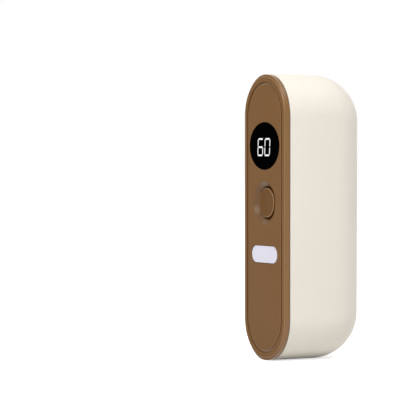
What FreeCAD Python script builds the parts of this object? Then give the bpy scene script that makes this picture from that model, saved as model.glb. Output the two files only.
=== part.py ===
# Rechargeable hand warmer: a palm-sized pod with a display, one button and a charging port.
# Millimetres. X is the thickness, Y runs from the front panel (-Y) to the rounded rear, Z is up.
# The origin is in the middle of the upright pod's box, at its lowest point.
import FreeCAD, Part
import Sketcher
import math
import os
import re

# Sizes that follow others are formulas of the sheet
SIZES = {
    # Pod: its outline from the front, then the rounding of its rear
    "height": 100,
    "depth": 35.7,
    "thickness": 28,
    "wall": 1.8,
    "arch_share": 0.543,
    "arch_rise": "=thickness * arch_share",
    "rear_share": 0.3754,
    "rear_round": "=depth * rear_share",
    "rear_strip": 2.6,
    "corner_depth_share": 0.465,
    "corner_depth": "=depth * corner_depth_share",
    "corner_rise_share": 0.161,
    "corner_rise": "=height * corner_rise_share",
    # Bezel: rim, shoulder, floor and the skirt that plugs into the pod
    "bezel_depth": 2.2,
    "shoulder_depth": 1.05,
    "shoulder_width": 0.3,
    "band_round": 0.12,
    "rim_side_taper": 0.45,
    "rim_end_taper": 1.2,
    "rim_round": 0.3,
    "floor_thick": 1.2,
    "skirt_length": 4.0,
    "skirt_wall": 1.2,
    "skirt_clearance": 0.15,
    "snap_length": 8.0,
    "snap_width": 1.0,
    "snap_depth": 0.5,
    "snap_setback": 2.2,
    "snap_share": 0.2,
    "snap_spread": "=height * snap_share",
    "snap_clearance": 0.15,
    # Inlaid panel and the film that glues it down
    "rim_side": 2.25,
    "rim_end": 3.0,
    "panel_width": "=thickness - 2 * rim_side",
    "panel_height": "=height - 2 * rim_end",
    "panel_thick": 1.6,
    "panel_recess": 0.05,
    "panel_gap": 0.32,
    "panel_edge": 0.3,
    "glue_thick": 0.1,
    "glue_margin": 0.8,
    # Display: lens, digits and the light module behind it
    "display_share": 0.25,
    "display_above": "=height * display_share",
    "lens_share": 0.838,
    "lens_width": "=panel_width * lens_share",
    "lens_height_share": 0.843,
    "lens_height": "=lens_width * lens_height_share",
    "lens_gap": 0.08,
    "digit_height": 6.35,
    "digit_width": 3.95,
    "digit_pitch": 4.75,
    "digit_stroke": 0.65,
    "digit_split": 0.1,
    "digit_depth": 0.3,
    "digits_left": 0.45,
    "digits_drop": 0.4,
    "module_share": 0.6,
    "module_width": "=lens_width * module_share",
    "module_height": "=lens_height * module_share",
    "module_gap": 0.3,
    "module_edge": 0.4,
    # Button in its dish, with a flange behind the floor and a nub on the switch
    "button_share": 0.0515,
    "button_above": "=height * button_share",
    "cap_diameter": 11.2,
    "cap_gap": 0.3,
    "dish_width": 1.65,
    "dish_diameter": "=cap_diameter + 2 * (cap_gap + dish_width)",
    "dish_depth": 0.95,
    "cap_hollow": 0.35,
    "cap_edge": 0.4,
    "flange_width": 1.0,
    "flange_thick": 0.8,
    "flange_gap": 0.1,
    "nub_diameter": 3.0,
    "nub_length": 0.6,
    "nub_gap": 0.05,
    "button_travel": 0.3,
    # Tactile switch on the board
    "switch_size": 6.0,
    "switch_base_height": 2.0,
    "switch_cover_thick": 0.25,
    "plunger_diameter": 3.4,
    "collar_diameter": 4.2,
    "collar_height": 0.5,
    "switch_clearance": 0.1,
    # Charging port: pocket in the panel, label on its floor, socket behind it
    "port_share": 0.1292,
    "port_below": "=height * port_share",
    "pocket_share": 0.804,
    "pocket_width": "=panel_width * pocket_share",
    "pocket_height": 6.9,
    "pocket_depth": 0.45,
    "label_end_gap": 0.6,
    "label_side_gap": 0.3,
    "label_width": "=pocket_width - 2 * label_end_gap",
    "label_height": "=pocket_height - 2 * label_side_gap",
    "label_thick": 0.15,
    "socket_width": 8.94,
    "socket_height": 3.26,
    "socket_wall": 0.3,
    "socket_gap": 0.3,
    "socket_setback": 0.15,
    "tongue_width": 6.7,
    "tongue_thick": 0.7,
    "tongue_setback": 0.9,
    "socket_back": 2.0,
    # Circuit board and what it carries
    "board_side": 0.95,
    "board_end": 13,
    "board_width": "=thickness - 2 * (wall + skirt_clearance + skirt_wall + board_side)",
    "board_height": "=height - 2 * board_end",
    "board_thick": 1.2,
    "board_corner": 3.0,
    "chip_size": 4.0,
    "chip_height": 0.9,
    "chip_share": 0.17,
    "chip_side": "=board_width * chip_share",
    "chip_above": 4.0,
    "inductor_size": 6.0,
    "inductor_gap": 0.4,
    "inductor_height": "=carrier_standoff - inductor_gap",
    "inductor_corner": 1.2,
    "inductor_share": 0.18,
    "inductor_side": "=board_width * inductor_share",
    "inductor_below": 7.0,
    "capacitor_length": 1.6,
    "capacitor_width": 0.8,
    "capacitor_pitch": 2.2,
    "capacitor_share": 0.21,
    "capacitor_side": "=board_width * capacitor_share",
    "capacitor_below": 8.0,
    # Screws through carrier and board into the bezel
    "screw_edge": 1.7,
    "screw_inset": 1.1,
    "screw_side": "=board_width / 2 - screw_edge",
    "screw_spread": "=cell_length / 2 - screw_inset",
    "screw_diameter": 1.6,
    "screw_gap": 0.1,
    "screw_head_diameter": 2.8,
    "screw_head_height": 1.0,
    "screw_length": 7.2,
    "boss_diameter": 3.6,
    "boss_share": 0.65,
    "boss_length": "=stack_room * boss_share",
    # Carrier that holds the cell behind the board
    "carrier_gap": 0.45,
    "carrier_width": "=thickness - 2 * (wall + spreader_thick + film_thick + carrier_gap)",
    "carrier_plate": 1.2,
    "carrier_standoff": "=stack_room * (1 - boss_share)",
    "carrier_end": 1.5,
    "carrier_rail": 0.8,
    "carrier_rail_height": 3.0,
    "saddle_thick": 2.0,
    "saddle_share": 0.338,
    "saddle_pitch": "=cell_length * saddle_share",
    "end_clearance": 0.1,
    # Lithium cell, its insulator, tabs and pad, and the room in front of it for board and carrier
    "cell_side": 2.15,
    "cell_rear": 2.4,
    "cell_front": 0.5,
    "cell_end": 2.2,
    "cell_diameter": "=min(thickness - 2 * (wall + spreader_thick + film_thick + cell_side);"
                     " 2 * (rear_round - wall - cell_rear))",
    "cell_length": "=height - 2 * (arch_rise + cell_end)",
    "stack_room": "=depth - rear_round - cell_diameter / 2 - cell_front - panel_recess - panel_thick"
                  " - glue_thick - floor_thick - board_thick - carrier_plate",
    "cell_edge": 0.6,
    "cell_clearance": 0.15,
    "terminal_diameter": 6.4,
    "insulator_margin": 0.8,
    "insulator_diameter": "=cell_diameter - 2 * insulator_margin",
    "insulator_thick": 0.2,
    "insulator_gap": 0.4,
    "tab_width": 6.0,
    "tab_length": 12.0,
    "tab_thick": 0.2,
    "pad_width": 6.0,
    "pad_end": 7.6,
    "pad_height": "=cell_length - 2 * pad_end",
    "pad_gap": 0.05,
    # Heating on both flat sides
    "spreader_gap": 1.0,
    "spreader_end": 2.8,
    "spreader_start": "=bezel_depth + skirt_length + spreader_gap",
    "spreader_height": "=height - 2 * (arch_rise + spreader_end)",
    "spreader_thick": 0.6,
    "film_thick": 0.25,
    "film_margin": 1.5,
    "sensor_thick": 0.9,
    "sensor_width": 1.8,
    "sensor_length": 3.0,
    "cutoff_length": 7.0,
    "sensor_above": 8.0,
    # Leads
    "lead_diameter": 1.2,
    "lead_bend": 1.8,
    "lead_rise": 2.4,
    "lead_notch": 0.3,
    "fine_lead_diameter": 0.8,
    "fine_lead_bend": 0.8,
    "fine_lead_spread": 3.0,
    "fine_lead_below": 6.0,
    "fine_lead_reach": 2.2,
    # How far a cutter runs past what it cuts
    "overrun": 1.0,
}
DIGIT_SLANT = 4
REAR_STATIONS = 10
CAPACITORS = 4
SIDES = (-1, 1)

doc = FreeCAD.newDocument("HandWarmer")
sheet = doc.addObject("Spreadsheet::Sheet", "Sizes")
for row, name in enumerate(SIZES, start=1):
    sheet.set(f"A{row}", name)
    sheet.setAlias(f"B{row}", name)
for row, entry in enumerate(SIZES.values(), start=1):
    sheet.set(f"B{row}", str(entry))
doc.recompute()

pieces = []


def formula(text):
    """Name the sheet before each of its sizes in a formula."""
    return re.sub(r"[a-z_]+", lambda word: f"Sizes.{word[0]}" if word[0] in SIZES else word[0], text)


def value(text):
    """Work a formula out now, for a shape that code makes."""
    return float(sheet.evalExpression(formula(text)))


def bind(thing, **formulas):
    """Tie properties of a document object to the sheet."""
    for name, text in formulas.items():
        thing.setExpression(name, formula(text))


def place(thing, x="0", y="0", z="0"):
    """Tie a document object's position to the sheet."""
    for axis, text in zip("xyz", (x, y, z)):
        thing.setExpression(f"Placement.Base.{axis}", formula(text))


def keep(label, thing):
    """Name a finished piece and put it on the list of files to write."""
    thing.Label = label
    pieces.append(thing)
    return thing


# Planes of the assembly, from the front to the rear
middle = "height / 2"
front = "(-depth / 2)"
panel_face = f"({front} + panel_recess)"
panel_back = f"({panel_face} + panel_thick)"
seat = f"({panel_back} + glue_thick)"
floor_back = f"({seat} + floor_thick)"
board_face = f"({floor_back} + boss_length)"
board_back = f"({board_face} + board_thick)"
carrier_face = f"({board_back} + carrier_standoff)"
carrier_back = f"({carrier_face} + carrier_plate)"
cell_axis = "(depth / 2 - rear_round)"
inner_side = "(thickness / 2 - wall)"
display_z = f"({middle} + display_above)"
button_z = f"({middle} + button_above)"
port_z = f"({middle} - port_below)"


# Ways of making solids


def block(name, size, corner):
    """Box with its lowest corner at a place."""
    thing = doc.addObject("Part::Box", name)
    bind(thing, Length=size[0], Width=size[1], Height=size[2])
    place(thing, *corner)
    return thing


def rod(name, diameter, length, start, upright=False):
    """Cylinder from a place, along +Y or upright along +Z."""
    thing = doc.addObject("Part::Cylinder", name)
    if not upright:
        thing.Placement = FreeCAD.Placement(FreeCAD.Vector(), FreeCAD.Rotation(FreeCAD.Vector(1, 0, 0), -90))
    bind(thing, Radius=f"({diameter}) / 2", Height=length)
    place(thing, *start)
    return thing


def fuse(name, *things):
    """Several solids as one."""
    thing = doc.addObject("Part::MultiFuse", name)
    thing.Shapes = list(things)
    thing.Refine = True
    return thing


def cut(name, base, *tools):
    """A solid with one or more tools taken out of it."""
    thing = doc.addObject("Part::Cut", name)
    thing.Base = base
    thing.Tool = tools[0] if len(tools) == 1 else fuse(f"{name}_tools", *tools)
    return thing


def group(name, things):
    """Separate solids that share one node."""
    thing = doc.addObject("Part::Compound", name)
    thing.Links = list(things)
    return thing


def lying_pill(name, width, height, thick, y, z):
    """Prism along Y with a pill outline, wider than high."""
    bar = block(f"{name}_bar", (f"{width} - ({height})", thick, height),
                (f"-({width} - ({height})) / 2", y, f"{z} - ({height}) / 2"))
    ends = [rod(f"{name}_end", height, thick, (f"{side} * ({width} - ({height})) / 2", y, z)) for side in SIDES]
    return fuse(name, bar, *ends)


def standing_pill(name, width, height, thick, y, z):
    """Prism along Y with a pill outline, higher than wide."""
    bar = block(f"{name}_bar", (width, thick, f"{height} - ({width})"),
                (f"-({width}) / 2", y, f"{z} - ({height} - ({width})) / 2"))
    ends = [rod(f"{name}_end", width, thick, ("0", y, f"{z} + {side} * ({height} - ({width})) / 2"))
            for side in SIDES]
    return fuse(name, bar, *ends)


def oval(name, width, height, thick, y, z):
    """Prism along Y with an elliptic outline, wider than high."""
    rim = doc.addObject("Part::Ellipse", f"{name}_rim")
    rim.Placement = FreeCAD.Placement(FreeCAD.Vector(), FreeCAD.Rotation(FreeCAD.Vector(1, 0, 0), 90))
    bind(rim, MajorRadius=f"({width}) / 2", MinorRadius=f"({height}) / 2")
    place(rim, "0", y, z)
    thing = doc.addObject("Part::Extrusion", name)
    thing.Base = rim
    thing.DirMode = "Custom"
    thing.Dir = FreeCAD.Vector(0, 1, 0)
    thing.Solid = True
    bind(thing, LengthFwd=thick)
    return thing


def edges_at(shape, axis, position):
    """Numbers of the edges that lie whole in one plane across an axis."""
    close = value("overrun") / 1000
    low, high = f"{axis}Min", f"{axis}Max"
    return [number for number, edge in enumerate(shape.Edges, start=1)
            if abs(getattr(edge.BoundBox, low) - position) < close
            and abs(getattr(edge.BoundBox, high) - position) < close]


def rounded(name, base, position, radius):
    """Round the edges of a solid that lie in one plane across Y."""
    doc.recompute()
    thing = doc.addObject("Part::Fillet", name)
    thing.Base = base
    thing.Edges = [(number, value(radius), value(radius))
                   for number in edges_at(base.Shape, "Y", value(position))]
    return thing


def body(name):
    """Empty body for sketched features."""
    return doc.addObject("PartDesign::Body", name)


def sketch_on(owner, role):
    """Sketch on one of a body's own origin planes."""
    plane = next(feature for feature in owner.Origin.OriginFeatures if feature.Role == role)
    sketch = owner.newObject("Sketcher::SketchObject", f"{owner.Name}_sketch")
    sketch.AttachmentSupport = [(plane, "")]
    sketch.MapMode = "FlatFace"
    return sketch


def draw_polygon(sketch, corners):
    """Closed outline whose corners are tied to the sheet."""
    points = [FreeCAD.Vector(value(x), value(y), 0) for x, y in corners]
    lines = [sketch.addGeometry(Part.LineSegment(start, end)) for start, end in zip(points, points[1:] + points[:1])]
    for line, following in zip(lines, lines[1:] + lines[:1]):
        sketch.addConstraint(Sketcher.Constraint("Coincident", line, 2, following, 1))
    for line, point, (x, y) in zip(lines, points, corners):
        for kind, size, text in (("DistanceX", point.x, x), ("DistanceY", point.y, y)):
            number = sketch.addConstraint(Sketcher.Constraint(kind, -1, 1, line, 1, size))
            sketch.setExpression(f"Constraints[{number}]", formula(text))


def draw_circle(sketch, diameter, x, y):
    """Circle whose size and place are tied to the sheet."""
    centre = FreeCAD.Vector(value(x), value(y), 0)
    circle = sketch.addGeometry(Part.Circle(centre, FreeCAD.Vector(0, 0, 1), value(diameter) / 2))
    for constraint, text in ((Sketcher.Constraint("Diameter", circle, value(diameter)), diameter),
                             (Sketcher.Constraint("DistanceX", -1, 1, circle, 3, centre.x), x),
                             (Sketcher.Constraint("DistanceY", -1, 1, circle, 3, centre.y), y)):
        number = sketch.addConstraint(constraint)
        sketch.setExpression(f"Constraints[{number}]", formula(text))


def rectangle(width, height, x, z):
    """Corners of a rectangle about a point."""
    return [(f"{x} + {across} * ({width}) / 2", f"{z} + {up} * ({height}) / 2")
            for across, up in ((-1, -1), (1, -1), (1, 1), (-1, 1))]


def padded(name, corners, thick, y):
    """Body with one outline in XZ, padded towards +Y from a place."""
    owner = body(name)
    sketch = sketch_on(owner, "XZ_Plane")
    draw_polygon(sketch, corners)
    pad = owner.newObject("PartDesign::Pad", f"{name}_pad")
    pad.Profile = sketch
    pad.Reversed = True
    bind(pad, Length=thick)
    place(owner, "0", y)
    return owner


def blend_corners(owner, kind, size):
    """Fillet or chamfer the four edges along Y of a padded body."""
    doc.recompute()
    pad = owner.Tip
    shape = pad.Shape
    names = [f"Edge{number}" for number, edge in enumerate(shape.Edges, start=1)
             if abs(edge.tangentAt(edge.FirstParameter).y) > abs(edge.tangentAt(edge.FirstParameter).x)
             and abs(edge.tangentAt(edge.FirstParameter).y) > abs(edge.tangentAt(edge.FirstParameter).z)]
    feature = owner.newObject(f"PartDesign::{kind}", f"{owner.Name}_corners")
    feature.Base = (pad, names)
    bind(feature, **{"Radius" if kind == "Fillet" else "Size": size})
    return owner


def pierced(owner, circles):
    """Round holes through a padded body."""
    sketch = sketch_on(owner, "XZ_Plane")
    for diameter, x, z in circles:
        draw_circle(sketch, diameter, x, z)
    pocket = owner.newObject("PartDesign::Pocket", f"{owner.Name}_holes")
    pocket.Profile = sketch
    pocket.Type = "ThroughAll"
    return owner


def turned(name, role, corners):
    """Body turned from a half profile about its sketch's vertical axis."""
    owner = body(name)
    sketch = sketch_on(owner, role)
    draw_polygon(sketch, corners)
    turn = owner.newObject("PartDesign::Revolution", f"{name}_turn")
    turn.Profile = sketch
    turn.ReferenceAxis = (sketch, ["V_Axis"])
    turn.Angle = 360
    return owner


# Pod outline: two straight sides closed by a half ellipse at the top and at the bottom


def half_ellipse(half_width, rise, y, z):
    """Upper half of an ellipse, or the lower half where both sizes are negative."""
    arc = Part.Arc(FreeCAD.Vector(1, 0, 0), FreeCAD.Vector(0, 0, 1), FreeCAD.Vector(-1, 0, 0)).toShape()
    stretch = FreeCAD.Matrix()
    stretch.scale(half_width, 1, rise)
    stretch.move(FreeCAD.Vector(0, y, z))
    return arc.transformGeometry(stretch)


def outline(y, half_width, half_height, rise):
    """Closed wire of the pod's outline at one depth."""
    straight = half_height - rise
    centre = value(middle)
    corner = {(x, z): FreeCAD.Vector(x * half_width, y, centre + z * straight) for x in SIDES for z in SIDES}
    return Part.Wire([
        half_ellipse(half_width, rise, y, centre + straight),
        Part.LineSegment(corner[-1, 1], corner[-1, -1]).toShape(),
        half_ellipse(-half_width, -rise, y, centre - straight),
        Part.LineSegment(corner[1, -1], corner[1, 1]).toShape(),
    ])


def inset_outline(y, inset):
    """Outline of the pod's front, drawn in by an even amount."""
    return outline(y, value("thickness / 2") - inset, value(middle) - inset, value("arch_rise") - inset)


def slab(start, end, inset):
    """Straight stretch of the pod's outline between two depths."""
    return Part.Face(inset_outline(start, inset)).extrude(FreeCAD.Vector(0, end - start, 0))


def rear_section(y, inset):
    """Outline at a depth in the rear, where the sides close and the ends drop, each on an ellipse."""
    closing = math.sqrt(1 - (value("rear_strip") / value("thickness")) ** 2)
    closed = max(0, (y - close_start) / (value("rear_round") - inset))
    dropped = max(0, (y - drop_start) / (value("corner_depth") - inset))
    narrowing = math.sqrt(1 - (closing * closed) ** 2)
    drop = (value("corner_rise") - inset) * (1 - math.sqrt(1 - (closing * dropped) ** 2))
    return outline(y, (value("thickness / 2") - inset) * narrowing, value(middle) - inset - drop,
                   (value("arch_rise") - inset) * narrowing)


def rear_loft(start, end, inset):
    """Stretch of the rounded rear between two depths, with its sections closer towards the end."""
    reaches = [math.sin(math.pi / 2 * station / REAR_STATIONS) for station in range(REAR_STATIONS + 1)]
    return Part.makeLoft([rear_section(start + (end - start) * reach, inset) for reach in reaches], True)


def pod(start, inset):
    """Whole pod from a depth to its rear, drawn in by an even amount."""
    first, second = sorted((drop_start, close_start))
    rear = rear_loft(second, value("depth / 2") - inset, inset)
    if second > first:
        rear = rear.fuse(rear_loft(first, second, inset))
    return slab(start, first, inset).fuse(rear)


def made(name, shape):
    """Document object for a shape that no feature gives."""
    thing = doc.addObject("Part::Feature", name)
    thing.Shape = shape
    return thing


# Housing: one moulded pod, open at the front, with four pockets for the bezel's snaps
drop_start = value("depth / 2 - corner_depth")
close_start = value(cell_axis)
seam = value(f"{front} + bezel_depth")
pod_outside = made("pod_outside", pod(seam, 0))
pod_inside = made("pod_inside", pod(seam - value("overrun"), value("wall")))
snap_y = f"{front} + bezel_depth + snap_setback"
skirt_side = f"({inner_side} - skirt_clearance)"


def snaps(name, length, width, depth, y):
    """One block on each side, above and below the middle, from inside the skirt's face outwards."""
    blocks = []
    for side in SIDES:
        for up in SIDES:
            corner_x = skirt_side + " - skirt_wall / 2" if side > 0 else f"-({skirt_side}) - ({depth})"
            blocks.append(block(name, (f"{depth} + skirt_wall / 2", width, length),
                                (corner_x, y, f"{middle} + {up} * snap_spread - ({length}) / 2")))
    return blocks


snap_pockets = snaps("snap_pocket", "snap_length + 2 * snap_clearance", "snap_width + 2 * snap_clearance",
                     "snap_depth + snap_clearance", f"{snap_y} - snap_clearance")
keep("main_housing", cut("housing", pod_outside, pod_inside, *snap_pockets))

# Bezel: raised rim on a flush band, a floor for the panel and a skirt inside the pod's mouth
shoulder = value(f"{front} + shoulder_depth")
rim_half_width = value("thickness / 2 - rim_side_taper")
rim_face = outline(value(front), rim_half_width, value(f"{middle} - rim_end_taper"), rim_half_width)
rim_foot = inset_outline(shoulder, value("shoulder_width"))
rim_blank = made("rim_blank", Part.makeLoft([rim_foot, rim_face], True, True))
rim = rounded("rim", rim_blank, front, "rim_round")
band_blank = made("band_blank", slab(shoulder, seam, 0))
band_front = rounded("band_front", band_blank, f"{front} + shoulder_depth", "band_round")
band = rounded("band", band_front, f"{front} + bezel_depth", "band_round")
skirt_inset = value("wall + skirt_clearance")
skirt_end = value(f"{front} + bezel_depth + skirt_length")
skirt = made("skirt", slab(seam, skirt_end, skirt_inset))
skirt_inside = made("skirt_inside", slab(value(floor_back), skirt_end + value("overrun"),
                                         skirt_inset + value("skirt_wall")))
panel_pocket = standing_pill("panel_pocket", "panel_width + 2 * panel_gap", "panel_height + 2 * panel_gap",
                             "panel_recess + panel_thick + glue_thick + overrun", f"{front} - overrun", middle)
floor_cut = f"{seat} - overrun"
floor_cut_depth = "floor_thick + 2 * overrun"
module_window = block("module_window",
                      ("module_width + 2 * module_gap", floor_cut_depth, "module_height + 2 * module_gap"),
                      ("-module_width / 2 - module_gap", floor_cut,
                       f"{display_z} - module_height / 2 - module_gap"))
button_hole = rod("button_hole", "cap_diameter + 2 * cap_gap", floor_cut_depth, ("0", floor_cut, button_z))
socket_window = lying_pill("socket_window", "socket_width + 2 * socket_gap", "socket_height + 2 * socket_gap",
                           floor_cut_depth, floor_cut, port_z)
screw_places = [(f"{side} * screw_side", f"({middle} + {up} * screw_spread)") for side in SIDES for up in SIDES]
bosses = [rod("boss", "boss_diameter", "boss_length", (x, floor_back, z)) for x, z in screw_places]
screw_tip = f"({carrier_back} - screw_length)"
pilots = [rod("pilot", "screw_diameter", f"{board_face} - {screw_tip} + overrun", (x, screw_tip, z))
          for x, z in screw_places]
snap_beads = snaps("snap_bead", "snap_length", "snap_width", "snap_depth", snap_y)
bezel_cup = cut("bezel_cup", fuse("bezel_blank", rim, band, skirt), panel_pocket, skirt_inside)
bezel_full = fuse("bezel_full", bezel_cup, *bosses, *snap_beads)
keep("front_bezel", cut("bezel", bezel_full, module_window, button_hole, socket_window, *pilots))

# Panel: flat inlay with an oval window, a dished seat for the button and a pocket for the port
panel_blank = standing_pill("panel_blank", "panel_width", "panel_height", "panel_thick", panel_face, middle)
panel_soft = rounded("panel_soft", panel_blank, panel_face, "panel_edge")
panel_cut = f"{panel_face} - overrun"
panel_cut_depth = "panel_thick + 2 * overrun"
lens_window = oval("lens_window", "lens_width + 2 * lens_gap", "lens_height + 2 * lens_gap",
                   panel_cut_depth, panel_cut, display_z)
dish_foot = "(cap_diameter / 2 + cap_gap)"
dish_stand = f"(((dish_diameter / 2) ^ 2 - {dish_foot} ^ 2 - dish_depth ^ 2) / (2 * dish_depth))"
dish = doc.addObject("Part::Sphere", "dish")
bind(dish, Radius=f"sqrt((dish_diameter / 2) ^ 2 + {dish_stand} ^ 2)")
place(dish, "0", f"{panel_face} - {dish_stand}", button_z)
cap_hole = rod("cap_hole", "cap_diameter + 2 * cap_gap", panel_cut_depth, ("0", panel_cut, button_z))
label_pocket = lying_pill("label_pocket", "pocket_width", "pocket_height", "pocket_depth + overrun",
                          panel_cut, port_z)
socket_hole = lying_pill("socket_hole", "socket_width + 2 * socket_gap", "socket_height + 2 * socket_gap",
                         panel_cut_depth, panel_cut, port_z)
keep("front_panel", cut("panel", panel_soft, lens_window, dish, cap_hole, label_pocket, socket_hole))

# Glue film under panel and lens, open where the module, the button and the socket come through
film_cut = f"{panel_back} - overrun"
film_cut_depth = "glue_thick + 2 * overrun"
glue_blank = standing_pill("glue_blank", "panel_width - 2 * glue_margin", "panel_height - 2 * glue_margin",
                           "glue_thick", panel_back, middle)
glue_windows = [
    block("glue_module", ("module_width + 2 * module_gap", film_cut_depth, "module_height + 2 * module_gap"),
          ("-module_width / 2 - module_gap", film_cut, f"{display_z} - module_height / 2 - module_gap")),
    rod("glue_button", "cap_diameter + 2 * cap_gap", film_cut_depth, ("0", film_cut, button_z)),
    lying_pill("glue_socket", "socket_width + 2 * socket_gap", "socket_height + 2 * socket_gap",
               film_cut_depth, film_cut, port_z),
]
keep("panel_adhesive", cut("glue", glue_blank, *glue_windows))

# Display digits: two sets of seven mitred bars, leaning a little, let into the face of the lens
SEGMENTS = (((-1, 1), (1, 1)), ((1, 1), (1, 0)), ((1, 0), (1, -1)), ((-1, -1), (1, -1)),
            ((-1, 0), (-1, -1)), ((-1, 1), (-1, 0)), ((-1, 0), (1, 0)))


def segment(start, end):
    """Mitred bar between two points of the digit's grid, as a face on the lens."""
    along = (end - start).normalize()
    across = FreeCAD.Vector(-along.z, 0, along.x) * value("digit_stroke / 2")
    tip = along * value("digit_split / 2")
    bevel = along * value("digit_stroke / 2")
    points = [start + tip, start + tip + bevel + across, end - tip - bevel + across,
              end - tip, end - tip - bevel - across, start + tip + bevel - across]
    return Part.Face(Part.makePolygon(points + points[:1]))


def digit_bars():
    """All bars of the two digits."""
    half_width = value("(digit_width - digit_stroke) / 2")
    half_height = value("(digit_height - digit_stroke) / 2")
    lean = FreeCAD.Matrix()
    lean.A13 = math.tan(math.radians(DIGIT_SLANT))
    depth = FreeCAD.Vector(0, value("digit_depth"), 0)
    bars = []
    for side in SIDES:
        lean.A14 = value(f"{side} * digit_pitch / 2 - digits_left")
        lean.A24 = value(panel_face)
        lean.A34 = value(f"{display_z} - digits_drop")
        for start, end in SEGMENTS:
            ends = [FreeCAD.Vector(x * half_width, 0, z * half_height) for x, z in (start, end)]
            bars.append(segment(*ends).transformGeometry(lean).extrude(depth))
    return bars


digits = made("digits", Part.makeCompound(digit_bars()))
lens_blank = oval("lens_blank", "lens_width", "lens_height", "panel_thick", panel_face, display_z)
keep("display_lens", cut("lens", lens_blank, digits))
keep("digit_segments", digits)

# Light module: block on the board that reaches through the floor to the back of the lens
module = padded("module", rectangle("module_width", "module_height", "0", display_z),
                f"{board_face} - {seat}", seat)
keep("display_module", blend_corners(module, "Chamfer", "module_edge"))

# Button: hollowed cap, flange that keeps it behind the floor, nub that meets the switch
cap_front = "dish_depth + panel_recess"
flange_front = f"({floor_back} + flange_gap - {front})"
button = turned("button", "XY_Plane", [
    ("0", f"{cap_front} + cap_hollow"),
    ("nub_diameter / 2", f"{cap_front} + cap_hollow"),
    ("cap_diameter / 2 - cap_edge", cap_front),
    ("cap_diameter / 2", f"{cap_front} + cap_edge / 2"),
    ("cap_diameter / 2", flange_front),
    ("cap_diameter / 2 + flange_width", flange_front),
    ("cap_diameter / 2 + flange_width", f"{flange_front} + flange_thick"),
    ("nub_diameter / 2", f"{flange_front} + flange_thick"),
    ("nub_diameter / 2", f"{flange_front} + flange_thick + nub_length"),
    ("0", f"{flange_front} + flange_thick + nub_length"),
])
place(button, "0", front, button_z)
keep("power_button", button)

# Tactile switch: base on the board, steel cover, and the plunger under the button's nub
plunger_top = f"({floor_back} + flange_gap + flange_thick + nub_length + nub_gap)"
base_top = f"({board_face} - switch_base_height)"
cover_top = f"({base_top} - switch_cover_thick)"
collar_top = f"({base_top} + switch_clearance / 2)"
switch_blank = block("switch_blank", ("switch_size", "switch_base_height", "switch_size"),
                     ("-switch_size / 2", base_top, f"{button_z} - switch_size / 2"))
switch_bore = rod("switch_bore", "collar_diameter + 2 * switch_clearance",
                  "collar_height + button_travel + 2 * switch_clearance + overrun",
                  ("0", f"{base_top} - overrun", button_z))
keep("switch_base", cut("base", switch_blank, switch_bore))
cover = padded("cover", rectangle("switch_size", "switch_size", "0", button_z), "switch_cover_thick", cover_top)
keep("switch_cover", pierced(cover, [("plunger_diameter + 2 * switch_clearance", "0", button_z)]))
plunger = turned("plunger", "XY_Plane", [
    ("0", "0"),
    ("plunger_diameter / 2", "0"),
    ("plunger_diameter / 2", f"{collar_top} - {plunger_top}"),
    ("collar_diameter / 2", f"{collar_top} - {plunger_top}"),
    ("collar_diameter / 2", f"{collar_top} - {plunger_top} + collar_height"),
    ("0", f"{collar_top} - {plunger_top} + collar_height"),
])
place(plunger, "0", plunger_top, button_z)
keep("switch_plunger", plunger)

# Port label: blank film on the floor of the panel's pocket
pocket_floor = f"({panel_face} + pocket_depth)"
keep("port_label", lying_pill("label", "label_width", "label_height", "label_thick",
                              f"{pocket_floor} - label_thick", port_z))

# Charging socket: folded steel tube standing on the board, with a moulded block and tongue inside
mouth = f"({pocket_floor} + socket_setback)"
socket_length = f"{board_face} - {mouth}"
tube = lying_pill("tube", "socket_width", "socket_height", socket_length, mouth, port_z)
hollow = lying_pill("hollow", "socket_width - 2 * socket_wall", "socket_height - 2 * socket_wall",
                    f"{socket_length} + 2 * overrun", f"{mouth} - overrun", port_z)
keep("usb_shell", cut("shell", tube, hollow))
block_front = f"({board_face} - socket_back)"
plug_block = lying_pill("plug_block", "socket_width - 2 * socket_wall", "socket_height - 2 * socket_wall",
                        "socket_back", block_front, port_z)
tongue = block("tongue", ("tongue_width", f"{block_front} - {mouth} - tongue_setback", "tongue_thick"),
               ("-tongue_width / 2", f"{mouth} + tongue_setback", f"{port_z} - tongue_thick / 2"))
keep("usb_tongue", fuse("insulator", plug_block, tongue))

# Circuit board: rounded plate, held by four screws between carrier and bezel
board = padded("board", rectangle("board_width", "board_height", "0", middle), "board_thick", board_face)
blend_corners(board, "Fillet", "board_corner")
keep("main_board", pierced(board, [("screw_diameter + 2 * screw_gap", x, z) for x, z in screw_places]))

# Parts on the back of the board
chip = padded("chip", rectangle("chip_size", "chip_size", "-chip_side", f"{middle} + chip_above"),
              "chip_height", board_back)
keep("charge_controller", chip)
coil = padded("coil", rectangle("inductor_size", "inductor_size", "inductor_side", f"{middle} - inductor_below"),
              "inductor_height", board_back)
keep("power_inductor", blend_corners(coil, "Chamfer", "inductor_corner"))
capacitors = [block("capacitor", ("capacitor_length", "capacitor_width", "capacitor_width"),
                    ("-capacitor_side - capacitor_length / 2", board_back,
                     f"{middle} - capacitor_below - {number} * capacitor_pitch"))
              for number in range(CAPACITORS)]
keep("board_capacitors", group("capacitors", capacitors))

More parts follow.
